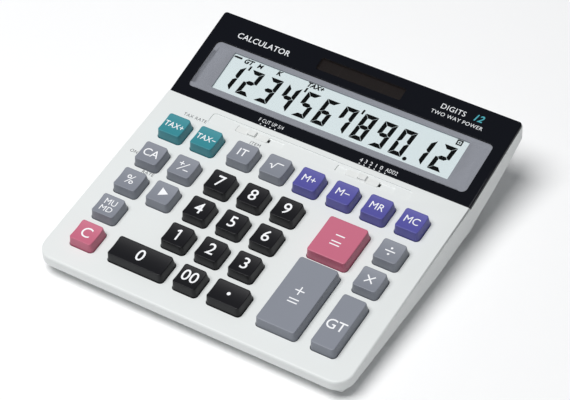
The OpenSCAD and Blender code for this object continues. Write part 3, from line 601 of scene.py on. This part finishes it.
# ---- Rubber mat and its domes ----
# One silicone sheet lies on the board. Under each key it rises into a dome that
# collapses when the key is pressed and brings its carbon pill to the contacts.
mat_silicone = grained("mat_silicone_rubber", srgb(150, 155, 160), 0.55, depth=0.01)
MAT_TOP = -6.6
DOME_TOP = -4.42
DOME_R = 4.2
DOME_SIDES = 28
DOME_PROFILE = [(0, DOME_TOP), (2.4, DOME_TOP), (2.6, -5.0), (DOME_R, MAT_TOP), (3.5, MAT_TOP - 0.1),
                (2.0, -5.3), (1.6, -5.3), (1.6, -5.6), (0, -5.6)]
sheet_bm = copy_of("key_mat", to_deck)
bmesh.ops.delete(sheet_bm, geom=[vert for vert in sheet_bm.verts if vert.co.z > MAT_TOP + 0.01],
                 context="VERTS")
for place in key_place.values():
    middle = Vector(place[:2])
    rims = [edge for edge in sheet_bm.edges if edge.is_boundary
            and (edge.verts[0].co.xy - middle).length < DOME_R + 0.1]
    bmesh.ops.bridge_loops(sheet_bm, edges=rims)
bmesh.ops.recalc_face_normals(sheet_bm, faces=sheet_bm.faces)
finished(sheet_bm, "mat_sheet", "case", mat_silicone, on_deck, ["key_mat"])
for name, place in key_place.items():
    across, along = place[:2]
    dome_bm = bmesh.new()
    rib = [dome_bm.verts.new((x, 0, z)) for x, z in DOME_PROFILE]
    ribs = [dome_bm.edges.new(pair) for pair in zip(rib, rib[1:])]
    bmesh.ops.spin(dome_bm, geom=rib + ribs, cent=(0, 0, 0), axis=(0, 0, 1), angle=math.radians(360),
                   steps=DOME_SIDES, use_merge=True)
    bmesh.ops.remove_doubles(dome_bm, verts=dome_bm.verts, dist=MARK_MERGE)
    bmesh.ops.recalc_face_normals(dome_bm, faces=dome_bm.faces)
    dome = finished(dome_bm, name + "_dome", "case", mat_silicone,
                    on_deck @ Matrix.Translation((across, along, 0)), tidy=False)
    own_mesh(dome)

# ---- Underside ----
# The bottom case is a shallow ABS tray that rises to the rear. Six screws hold it,
# it stands on four rubber feet, and a screwed cover closes the battery's pocket.
underside_abs = grained("underside_abs", srgb(214, 217, 216), 0.5, grain=0.4, depth=0.008)
TRAY_CORNER_R = 3.5
TRAY_EDGE_R = 0.35
COVER_EDGE_R = 0.15
FOOT_EDGE_R = 0.5
TRAY_FRONT, TRAY_SIDE = FRONT_Y + 8, HALF_W - 8     # the two front corners lie outside these lines
TRAY_BEVEL_Z = 1.6
to_mm = Matrix.Scale(1 / MM, 4)
from_mm = Matrix.Scale(MM, 4)
tray_bm = copy_of("bottom_case", to_mm)
round_over(tray_bm, TRAY_CORNER_R, 6, lambda at, n: at.y < TRAY_FRONT and abs(at.x) > TRAY_SIDE
           and at.z > TRAY_BEVEL_Z and max(normal.z for normal in n) < -0.3)
round_over(tray_bm, TRAY_EDGE_R, 2, lambda at, n: max(normal.z for normal in n) < 0.05
           and min(normal.z for normal in n) < -0.3)
finished(tray_bm, "bottom_case_tray", "case", underside_abs, from_mm, ["bottom_case"])
cover_bm = copy_of("battery_cover", to_mm)
round_over(cover_bm, COVER_EDGE_R, 2, lambda at, n: min(normal.z for normal in n) < -0.99)
finished(cover_bm, "battery_cover_plate", "case", underside_abs, from_mm, ["battery_cover"])
foot_rubber = grained("foot_rubber", srgb(48, 48, 50), 0.8, grain=0.5, depth=0.02)
feet_bm = copy_of("rubber_feet", to_mm)
round_over(feet_bm, FOOT_EDGE_R, 4, lambda at, n: at.z < 0.01)
finished(feet_bm, "rubber_feet_rounded", "case", foot_rubber, from_mm, ["rubber_feet"])

# ---- Solar cell's dividing lines ----
# The amorphous silicon film is scribed into four cells behind the tinted window.
SCRIBE_W = 0.3
SCRIBE_MARGIN = 0.6     # how much shorter than the cell a line is
SCRIBE_DEPTH = 0.01
SCRIBE_PROUD = 0.02
cell_lines = grained("cell_scribe", srgb(86, 74, 68), 0.4, grain=0.3, depth=0.001)
cell_points = [to_panel @ vert.co for vert in frame["nodes"]["solar_cell"].data.vertices]
cell_low = Vector([min(point[i] for point in cell_points) for i in range(3)])
cell_high = Vector([max(point[i] for point in cell_points) for i in range(3)])
cell_middle = (cell_low.y + cell_high.y) / 2
scribes = [(bar(SCRIBE_W, cell_high.y - cell_low.y - SCRIBE_MARGIN),
            cell_low.x + (cell_high.x - cell_low.x) * part, cell_middle)
           for part in (0.25, 0.5, 0.75)]
finished(raised(gather(scribes), SCRIBE_DEPTH), "solar_cell_lines", "case", cell_lines,
         on_panel @ Matrix.Translation((0, 0, cell_high.z + SCRIBE_PROUD)), tidy=False)

# ---- Materials of the carried-over CAD pieces ----
# Each remaining solid keeps its shape and gets the finish of the real stock.
window_clear = grained("window_clear_acrylic", srgb(20, 24, 26), 0.06, grain=2, depth=0.0005,
                       shine=0.25)
solar_tint = grained("solar_tint_acrylic", srgb(30, 24, 22), 0.1, grain=2, depth=0.0005)
for clear, opacity in ((window_clear, 0.07), (solar_tint, 0.42)):
    clear.node_tree.nodes["Principled BSDF"].inputs["Alpha"].default_value = opacity
STOCK = {
    "window_clear": window_clear,
    "solar_tint": solar_tint,
    "mask_grey": grained("mask_paint", srgb(147, 150, 159), 0.5, grain=0.4, depth=0.002),
    "solar_film": grained("solar_film_glass", srgb(56, 50, 50), 0.3, grain=0.5, depth=0.001),
    "lead_sheath": grained("lead_sheath_pvc", srgb(150, 30, 30), 0.45),
    "lcd_glass": grained("lcd_polariser", srgb(238, 251, 253), 0.35, grain=0.5, depth=0.001,
                         mottle=0.012),
    "reflector_foil": grained("foil", srgb(190, 195, 195), 0.4, metal=0.6),
    "holder_plastic": grained("holder_abs", srgb(205, 205, 200), 0.5),
    "contact_rubber": grained("zebra_rubber", srgb(205, 140, 150), 0.6),
    "circuit_board": grained("board_laminate", srgb(52, 98, 60), 0.45, grain=0.6, depth=0.01),
    "ribbon_film": grained("ribbon_polyester", srgb(222, 214, 190), 0.35),
    "chip_resin": grained("epoxy_drop", srgb(20, 20, 22), 0.25),
    "screw_steel": grained("screw_zinc", srgb(190, 192, 196), 0.32, metal=1.0),
    "mat_silicone": grained("mat_silicone", srgb(150, 155, 160), 0.55),
    "cell_steel": grained("cell_steel", srgb(196, 196, 200), 0.28, metal=1.0),
    "contact_steel": grained("contact_steel", srgb(200, 198, 190), 0.3, metal=1.0),
    "wiper_bronze": grained("wiper_bronze", srgb(200, 165, 95), 0.3, metal=1.0)}
for name, node in frame["nodes"].items():
    if node.hide_render:
        continue
    finish = node.data.materials[0].name
    if finish in STOCK:
        node.data.materials[0] = STOCK[finish]
